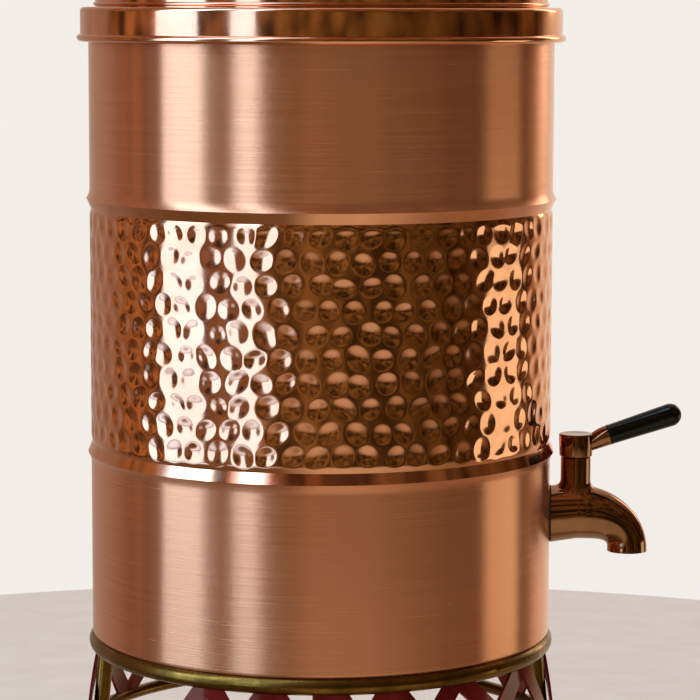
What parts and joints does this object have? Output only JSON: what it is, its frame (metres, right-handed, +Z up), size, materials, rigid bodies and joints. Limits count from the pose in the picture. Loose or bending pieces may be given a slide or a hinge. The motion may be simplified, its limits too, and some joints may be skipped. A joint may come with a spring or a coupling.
{
  "type": "water dispenser",
  "caption": "Cylindrical copper water vessel with a hammered band between ribs, a lift-off stepped lid, a quarter-turn lever tap and a rod ring stand with crossed straps.",
  "frame": {"origin": "the vessel's axis at the level of the table that the feet stand on", "axes": "+Z up along the vessel's axis, +X towards the tap, -Y towards the viewer"},
  "size_m": [0.2993, 0.252, 0.4933],
  "materials": {
    "satin_copper": "copper sheet brushed around the axis",
    "polished_copper": "polished copper",
    "tap_copper": "dark polished copper plating",
    "aged_brass": "antique brass, half gloss",
    "maroon_lacquer": "glossy lacquer",
    "seal_rubber": "matt rubber",
    "valve_brass": "turned brass",
    "screw_steel": "bright steel",
    "grip_black": "glossy black dipped sleeve"
  },
  "bodies": {
    "stand": {"stand_ring": "aged_brass", "stand_lower_ring": "aged_brass", "front_strap": "maroon_lacquer", "back_strap": "maroon_lacquer", "leg_1": "aged_brass", "leg_2": "aged_brass", "leg_3": "aged_brass", "leg_4": "aged_brass", "foot_1": "aged_brass", "foot_2": "aged_brass", "foot_3": "aged_brass", "foot_4": "aged_brass"},
    "vessel": {"vessel_wall": "satin_copper", "vessel_base": "satin_copper", "tap_body": "tap_copper", "tap_gasket": "seal_rubber", "tap_inner_washer": "seal_rubber", "tap_lock_nut": "valve_brass", "gland_ring": "valve_brass"},
    "tap_valve": {"valve_plug": "valve_brass", "valve_seals": "seal_rubber", "tap_handle": "tap_copper", "handle_set_screw": "screw_steel", "lever_grip": "grip_black"},
    "lid": {"lid_shell": "polished_copper", "lid_knob": "polished_copper", "knob_washer": "seal_rubber", "knob_screw": "screw_steel"}
  },
  "joints": [
    {"name": "vessel_lift", "type": "slide", "parent": "stand", "child": "vessel", "axis": [0, 0, 1], "range_m": [0, 0.08]},
    {"name": "lid_lift", "type": "slide", "parent": "vessel", "child": "lid", "axis": [0, 0, 1], "range_m": [0, 0.12]},
    {"name": "lever_turn", "type": "hinge", "parent": "vessel", "child": "tap_valve", "pos_m": [0.1227, 0, 0.239], "axis": [0, 0, 1], "range_deg": [0, 90]}
  ]
}
